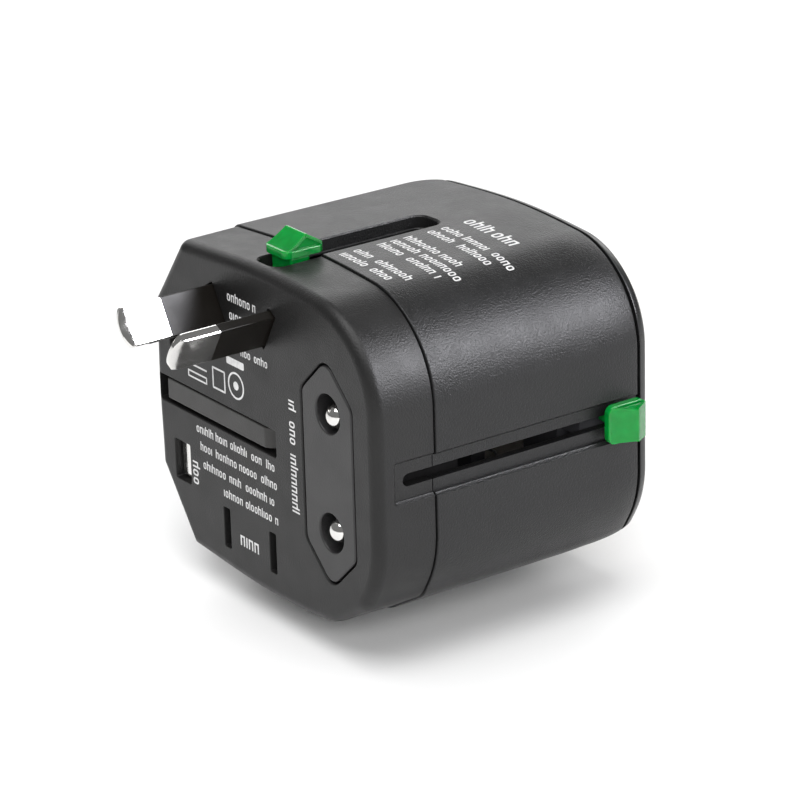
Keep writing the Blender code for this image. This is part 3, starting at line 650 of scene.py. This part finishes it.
def socket_lips(side):
    """Outlines that merge into the opening for one pole."""
    x = SOCKET_X
    low, high = sorted((x + side * 7.1, x + side * 14.7))
    return [
        rectangle(low, high, SOCKET_Z - 2.5, SOCKET_Z + 2.5, 1.2),
        rectangle(x + side * 6.35 - 1.1, x + side * 6.35 + 1.1, SOCKET_Z - 4.2, SOCKET_Z + 4.2, 0.4),
        upright_slot(x + side * 7.9, SOCKET_Z + 0.6, 9.4, 2.2, -side * AUS_TILT, 0.4),
        rectangle(x + side * 11.1 - 3.4, x + side * 11.1 + 3.4, SOCKET_Z - 2.15, SOCKET_Z + 2.2, 0.5),
    ]


plate_cuts = [plus(shape(prism, body_outline(WALL + 1.75, 0.0, 3.0, 9.0), 47.2, RIM_START + 1.4))]
for x0 in (-19.9, 12.4):
    plate_cuts.append(plus(shape(brick, x0, x0 + 1.2, 43.6, 48.5, -18.4, 4.5)))
plate_cuts.append(plus(shape(brick, -6.0, 0.0, 43.9, 48.5, -22.0, -21.4)))
for side in (-1, 1):
    for outline in socket_lips(side):
        plate_cuts.append(minus(shape(prism, outline, 46, 54)))
earth_hole = rectangle(SOCKET_X - 2.2, SOCKET_X + 2.2, SOCKET_Z + 22.2 - 4.3, SOCKET_Z + 22.2 + 4.3, 0.5)
plate_cuts.append(minus(shape(prism, earth_hole, 46, 54)))
plate = carved("rear_socket_plate", shape(loft, plate_rings), plate_cuts)
place(plate, "housing", PLATE_LOOK, "pale_grey_plastic", "socket_plate")

# ---- European block and pins ------------------------------------------------------------------
block_cuts = []
for side in (-1, 1):
    x, depth, z = EU[side]
    rings = [(-1.0, EU_HOLE_R + 0.3)]
    rings += [(0.3 * (1 - rise), EU_HOLE_R + 0.3 * run) for rise, run in reversed(quarter(4))]
    rings.append((9.0, EU_HOLE_R))
    well_z = EU[-1][2] + (EU_SPACING if side > 0 else 0.0)
    block_cuts.append(minus(shape(tube, x, well_z, rings, 64)))
    block_cuts.append(minus(shape(tube, x, z, [(8.0, EU_PIN_R + 0.15), (BLOCK_END + 2, EU_PIN_R + 0.15)])))
block = carved("european_block", shape(eased, hexagon(), 0.0, BLOCK_END, 0.3), block_cuts)
place(block, "eu_block", INSERT_LOOK, "charcoal_insert_plastic", "eu_plug_block")
for side, name in ((-1, "lower"), (1, "upper")):
    x, depth, z = EU[side]
    low, high = node_box(f"eu_pin_{name}")
    rings = [(low[1] + EU_PIN_R * (1 - math.sin(math.radians(a))), EU_PIN_R * math.cos(math.radians(a)))
             for a in (86, 78, 70, 62, 54, 46, 38, 30, 22, 15, 8, 0)]
    pin = carved(f"european_pin_{name}", shape(tube, x, z, rings + [(high[1], EU_PIN_R)]), [])
    place(pin, "eu_slider", CHROME_LOOK, "nickel_plate", f"eu_pin_{name}")

# ---- Australian blades ------------------------------------------------------------------------
def blade_tip(mesh, x, z, degrees, tip, rear):
    """Metal end of a blade: round-ended, with a straight chamfer on each broad face."""
    half, thick, shoulder = AUS_WIDTH / 2, AUS_THICK / 2, tip + 1.9
    rings = []
    for k in range(49):
        across = half * math.sin(math.pi / 2 * (k / 24 - 1))
        edge = tip + 1.05 * abs(across / half) ** 2.4
        near = 1.75 * max(abs(across) - half + 0.12, 0.0)
        side_thick = thick - near
        tip_thick = side_thick - (shoulder - edge) * 0.27
        profile = [(-side_thick, rear), (-side_thick, shoulder), (-tip_thick, edge + 0.06),
                   (-tip_thick + 0.08, edge), (tip_thick - 0.08, edge), (tip_thick, edge + 0.06),
                   (side_thick, shoulder), (side_thick, rear)]
        ring = []
        for through, depth in profile:
            p = turned([Vector((through, across))], x, z, degrees)[0]
            ring.append(at(p.x, depth, p.y))
        rings.append(ring)
    return skin(mesh, rings)


for side, name in ((-1, "left"), (1, "right")):
    x, depth, z = AUS[side]
    low, high = node_box(f"aus_blade_{name}")
    sleeve_low, sleeve_high = node_box(f"aus_sleeve_{name}")
    outline = upright_slot(x, z, AUS_WIDTH, AUS_THICK, side * AUS_TILT, 0.15)
    shank = upright_slot(x, z, 5.3, 0.8, side * AUS_TILT, 0.0)
    blade = carved(f"australian_blade_{name}", shape(blade_tip, x, z, side * AUS_TILT, low[1], sleeve_low[1]),
                   [plus(shape(prism, shank, sleeve_low[1] - 1, high[1]))], 20.0)
    place(blade, "aus_slider", CHROME_LOOK, "nickel_plate", f"aus_blade_{name}")
    shank_hole = upright_slot(x, z, 5.4, 0.9, side * AUS_TILT)
    sleeve = carved(f"australian_sleeve_{name}", shape(prism, outline, sleeve_low[1], sleeve_high[1]),
                    [minus(shape(prism, shank_hole, sleeve_low[1] - 2, 5))])
    place(sleeve, "aus_slider", SLEEVE_LOOK, "black_sleeve_plastic", f"aus_sleeve_{name}")

# ---- American blades and British pins -----------------------------------------------------------
for side, name in ((-1, "left"), (1, "right")):
    x, depth, z = US[side]
    low, high = node_box(f"us_blade_{name}")
    blade = carved(f"american_blade_{name}",
                   shape(eased, upright_slot(x, z, US_WIDTH, US_THICK, 0, 0.2), low[1], high[1], 0.5), [])
    place(blade, "us_slider", CHROME_LOOK, "nickel_plate", f"us_blade_{name}")
for side, name in ((-1, "lower"), (1, "upper")):
    x, depth, z = UK[side]
    low, high = node_box(f"uk_pin_{name}")
    outline = rectangle(x - UK_HALF_WIDTH, x + UK_HALF_WIDTH, z - UK_HALF_HEIGHT, z + UK_HALF_HEIGHT, UK_EDGE)
    pin = carved(f"british_pin_{name}", shape(eased, outline, low[1], high[1], UK_EDGE), [])
    place(pin, "uk_slider", CHROME_LOOK, "nickel_plate", f"uk_pin_{name}")

# ---- folding earth pin -------------------------------------------------------------------------
pin_low, pin_high = node_box("uk_earth_pin")
HUB_R = 4.25
hub_flat = math.degrees(math.asin(4.0 / HUB_R))
hub = [Vector((PIVOT_X + HUB_R * math.cos(a), PIVOT_DEPTH + HUB_R * math.sin(a)))
       for a in (math.radians(-hub_flat + hub_flat * k / 15) for k in range(31))]
TIP_X = pin_low[0]
tip = [Vector(point) for point in ((TIP_X + 2.0, 8.0), (TIP_X, 6.2), (TIP_X, 0.6), (TIP_X + 0.6, 0.0))]
earth = carved("british_earth_pin", shape(upright, hub + tip, pin_low[2], pin_high[2], 0.3),
               [minus(shape(upright, circle(PIVOT_X, PIVOT_DEPTH, 1.05), -5, 5))])
place(earth, "earth_pin", EARTH_LOOK, "charcoal_pin_plastic", "uk_earth_pin")

# ---- return spring of the shutter ----------------------------------------------------------------
low, high = node_box("shutter_spring")
WIRE_R, COIL_TURNS, COIL_STEPS, SHUTTER_TRAVEL = 0.22, 5, 24, 9.6
coil_x, coil_depth = (low[0] + high[0]) / 2, (low[1] + high[1]) / 2
coil_r, rise = (high[0] - low[0]) / 2 - WIRE_R, high[2] - low[2] - 2 * WIRE_R - 0.1
coil_rings = []
for k in range(COIL_TURNS * COIL_STEPS + 1):
    a = 2 * math.pi * k / COIL_STEPS
    z = low[2] + WIRE_R + 0.05 + rise * k / (COIL_TURNS * COIL_STEPS)
    coil_rings.append([at(coil_x + (coil_r + p.x) * math.cos(a), coil_depth + (coil_r + p.x) * math.sin(a),
                          z + p.y) for p in circle(0, 0, WIRE_R, 10)])
coil = carved("shutter_return_spring", shape(skin, coil_rings), [], 50.0)
place(coil, "housing", STEEL_LOOK, "steel", "shutter_spring")
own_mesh(coil)


# ---- printed marks -------------------------------------------------------------------------------
def on_front(u, v, height):
    return at(u, -height, v)


def on_top(u, v, height):
    """Point on the body's curved top at x = u, depth = v."""
    z = TOP if u <= RIGHT - 15 else TOP - 15 + math.sqrt(15 ** 2 - (u - RIGHT + 15) ** 2)
    z += BOW * bump(u - 2.0, 31.5)
    return at(u, v, z + height)


def stamp(mesh, where, outer, inner=None):
    """Film of ink over a closed outline, or between two outlines."""
    rings = [(outer, -0.03), (outer, 0.012)]
    if inner:
        rings += [(inner, 0.012), (inner, -0.03)]
    made = [[mesh.verts.new(where(p.x, p.y, height)) for p in loop] for loop, height in rings]
    pairs = list(zip(made, made[1:] + made[:1])) if inner else [(made[0], made[1])]
    for a, b in pairs:
        for i in range(len(a)):
            j = (i + 1) % len(a)
            mesh.faces.new((a[i], a[j], b[j], b[i]))
    if not inner:
        mesh.faces.new(made[0])
        mesh.faces.new(made[1])


def scribble(mesh, where, start, end, middle, tall, along_v, dice):
    """Line of small strokes, loops and arches in groups, standing for one line of print."""
    line, low = 0.13 * tall, -0.42 * tall

    def block(a0, a1, b0, b1, radius, hollow=False):
        box = (middle + b0, middle + b1, a0, a1) if along_v else (a0, a1, middle + b0, middle + b1)
        loop = rectangle(*box, radius, 22.5)
        stamp(mesh, where, loop, grown(loop, -line) if hollow else None)

    here = start
    while here < end - 0.4 * tall:
        group_end = min(here + dice.uniform(2.0, 5.0) * tall, end)
        while here < group_end - 0.4 * tall:
            kind = dice.choice(("stroke", "loop", "loop", "arch", "stem"))
            wide, high = 0.48 * tall, 0.26 * tall
            if kind == "stroke":
                wide = line
                block(here, here + line, low, dice.choice((high, 0.5 * tall)), 0.02)
            elif kind == "loop":
                block(here, here + wide, low, high, 0.2 * tall, True)
            else:
                rise = 0.5 * tall if kind == "stem" else high
                block(here, here + line, low, rise, 0.02)
                block(here + wide - line, here + wide, low, high - line, 0.02)
                block(here + line, here + wide, high - line, high, 0.02)
            here += wide + 0.15 * tall
        here = group_end + 0.4 * tall


def outline_mark(mesh, where, loop, line):
    stamp(mesh, where, loop, grown(loop, -line))


dice = random.Random(7)
front_print = bmesh.new()
for start, end, middle, tall in (
        (-17.3, 4.7, -4.0, 1.6), (-16.4, 4.7, -6.85, 1.6), (-15.8, 4.7, -9.75, 1.6), (-10.2, 4.7, -12.6, 1.6),
        (-6.0, -1.0, -19.0, 2.5), (-6.8, 1.0, 20.6, 1.7), (-6.4, -1.4, 17.7, 1.7), (-3.7, 4.3, 12.4, 1.5)):
    scribble(front_print, on_front, start, end, middle, tall, False, dice)
scribble(front_print, on_front, -13.8, -9.0, -18.0, 2.2, True, dice)
scribble(front_print, on_front, -9.5, 9.2, 9.8, 2.1, True, dice)
stamp(front_print, on_front, rectangle(-7.8, -3.0, 9.5, 10.7, 0.25, 30.0))
ring = circle(-5.4, 6.4, 2.2, 40)
outline_mark(front_print, on_front, ring, 0.32)
stamp(front_print, on_front, circle(-5.4, 6.4, 0.7, 24))
outline_mark(front_print, on_front, rectangle(-12.0, -8.4, 4.2, 7.8, 0.2, 30.0), 0.32)
outline_mark(front_print, on_front, rectangle(-19.0, -13.6, 4.1, 5.3, 0.1, 45.0), 0.28)
stamp(front_print, on_front, rectangle(-17.6, -13.6, 6.2, 6.5, 0.05, 45.0))
place(carved("front_marks", front_print, []), "housing", INK_LOOK, None)

top_print = bmesh.new()
scribble(top_print, on_top, 4.8, 16.6, 36.9, 2.9, False, dice)
for end, depth in ((22.3, 32.1), (21.0, 29.5), (18.7, 25.1), (22.6, 22.7), (20.6, 20.2), (19.2, 15.8),
                   (19.7, 13.3)):
    scribble(top_print, on_top, 5.1, end, depth, 1.9, False, dice)
place(carved("top_marks", top_print, []), "housing", INK_LOOK, None)


# ---- slider knobs --------------------------------------------------------------------------------
def knob(name, body, side, stem_half_width):
    """Thumb piece: rounded base, tent-shaped grip and a stem through the slot."""
    low, high = node_box(name)
    middle = (low[1] + high[1]) / 2
    stem_low, stem_high = middle - 1.75, middle + 1.75
    if side == "top":
        stem_low, stem_high = middle - 2.45, middle + 1.05
    outline = rectangle(-3.1, 3.1, middle - 3.6, middle + 3.6, 1.3, 9.0)
    rings = []
    for rise, run in quarter(4):
        rings.append([on_side(side, p.x, p.y, 0.3 + 0.15 * run) for p in grown(outline, -0.15 * (1 - rise))])
    for rise, run in reversed(quarter(5)):
        rings.append([on_side(side, p.x, p.y, 1.5 - 0.22 * run) for p in grown(outline, -0.22 * (1 - rise))])
    base = shape(skin, rings)

    def slab(half_low, half_high, profile):
        """Solid across the knob over a profile of (along, height), its flanks leaning inwards."""
        walls = []
        for sign in (-1, 1):
            walls.append([on_side(side, sign * (half_low + (half_high - half_low) * (height - 1.2) / 2.4),
                                  middle + along, height) for along, height in profile])
        return shape(skin, walls)

    ramp = [(-3.35 + 3.5 * k / 12, 1.45 + 2.05 * (k / 12) ** 1.25) for k in range(13)]
    ridge = [(0.32, 3.59), (0.52, 3.6), (0.7, 3.52)]
    under = [(0.45, 3.0), (0.05, 2.75), (-1.4, 1.8), (-2.9, 1.2)]
    thumb = slab(2.86, 2.56, [(-3.35, 1.2)] + ramp + ridge + under)
    wedge = slab(2.62, 2.05, [(-2.9, 1.2), (-2.6, 1.5), (0.1, 3.3), (0.6, 3.4), (2.95, 1.95), (3.2, 1.75),
                              (3.2, 1.2)])
    back = slab(2.8, 2.7, [(0.35, 3.1), (0.5, 3.52), (0.72, 3.46), (3.05, 2.02), (3.28, 1.7), (3.28, 1.3),
                           (2.6, 1.75)])
    stem = shape(skin, [[on_side(side, p.x, p.y, height) for p in rectangle(
        -stem_half_width, stem_half_width, stem_low, stem_high, 0.3)] for height in (-3.4, 0.9)])
    footprint = grown(outline, 0.01)
    keep = shape(skin, [[on_side(side, p.x, p.y, height) for p in footprint] for height in (-4, 4)])
    changes = [plus(wedge), plus(thumb), plus(back), plus(stem), ("INTERSECT", keep)]
    piece = carved(name + "_piece", base, changes, 25.0)
    place(piece, body, GREEN_LOOK, "green_knob_plastic", name)


knob("eu_knob", "eu_slider", "right", 0.8)
knob("aus_knob", "aus_slider", "top", 2.6)
knob("us_knob", "us_slider", "bottom", 0.8)
knob("uk_knob", "uk_slider", "left", 0.8)

# ---- floor, light and camera ------------------------------------------------------------------------
floor_mesh = bmesh.new()
for x, y, z in ((-3, -3, 0), (3, -3, 0), (3, 3, 0), (-3, 3, 0)):
    floor_mesh.verts.new((x, y, cad_bounds[0][2] - 0.0002))
floor_mesh.faces.new(floor_mesh.verts)
floor_data = bpy.data.meshes.new("studio_floor")
floor_mesh.to_mesh(floor_data)
floor_mesh.free()
floor = bpy.data.objects.new("studio_floor", floor_data)
scene.collection.objects.link(floor)
floor.data.materials.append(plastic("floor_paint", (0.86, 0.86, 0.86), 0.6, 200.0, 0.02, 0.01, 3.0))


def area_light(name, azimuth, elevation, distance, width, height, power, colour=(1, 1, 1),
               diffuse=True, glossy=True):
    """Soft box at a direction from the object, facing it."""
    data = bpy.data.lights.new(name, "AREA")
    data.shape = "RECTANGLE"
    data.size = width
    data.size_y = height
    data.energy = power
    data.color = colour
    made = bpy.data.objects.new(name, data)
    a, e = math.radians(azimuth), math.radians(elevation)
    away = Vector((math.sin(a) * math.cos(e), -math.cos(a) * math.cos(e), math.sin(e)))
    made.location = Vector((0, 0, 0.03)) + away * distance
    made.rotation_euler = (-away).to_track_quat("-Z", "Y").to_euler()
    made.visible_diffuse = diffuse
    made.visible_glossy = glossy
    scene.collection.objects.link(made)


# Radiance of a soft box is its power over its area and pi.
area_light("overhead_softbox", 35, 74, 1.6, 1.3, 1.3, 24.0)
area_light("right_strip", 127, 29, 1.0, 0.6, 0.48, 17.0, (0.95, 0.95, 1.0), diffuse=False)
area_light("left_backdrop", 235, 24, 1.2, 1.8, 0.5, 7.6)
area_light("floor_wash", 60, 25, 1.2, 0.8, 0.5, 12.0, glossy=False)

world = bpy.data.worlds.new("studio")
world.use_nodes = True
scene.world = world
world.node_tree.nodes["Background"].inputs["Color"].default_value = (1.0, 1.0, 1.0, 1.0)
world.node_tree.nodes["Background"].inputs["Strength"].default_value = 0.20

camera_data = bpy.data.cameras.new("camera")
camera_data.lens = 167.5
camera_data.clip_start = 0.01
camera = bpy.data.objects.new("camera", camera_data)
AZIMUTH, ELEVATION, ROLL, DISTANCE = 54.9, 21.26, -1.58, 0.573
a, e = math.radians(AZIMUTH), math.radians(ELEVATION)
away = Vector((math.sin(a) * math.cos(e), -math.cos(a) * math.cos(e), math.sin(e)))
camera.matrix_world = (Matrix.Translation(at(3.85, 23.86, 0.99) + away * DISTANCE)
                       @ (-away).to_track_quat("-Z", "Y").to_matrix().to_4x4()
                       @ Matrix.Rotation(math.radians(ROLL), 4, "Z"))
scene.collection.objects.link(camera)
scene.camera = camera
scene.view_settings.view_transform = "Standard"
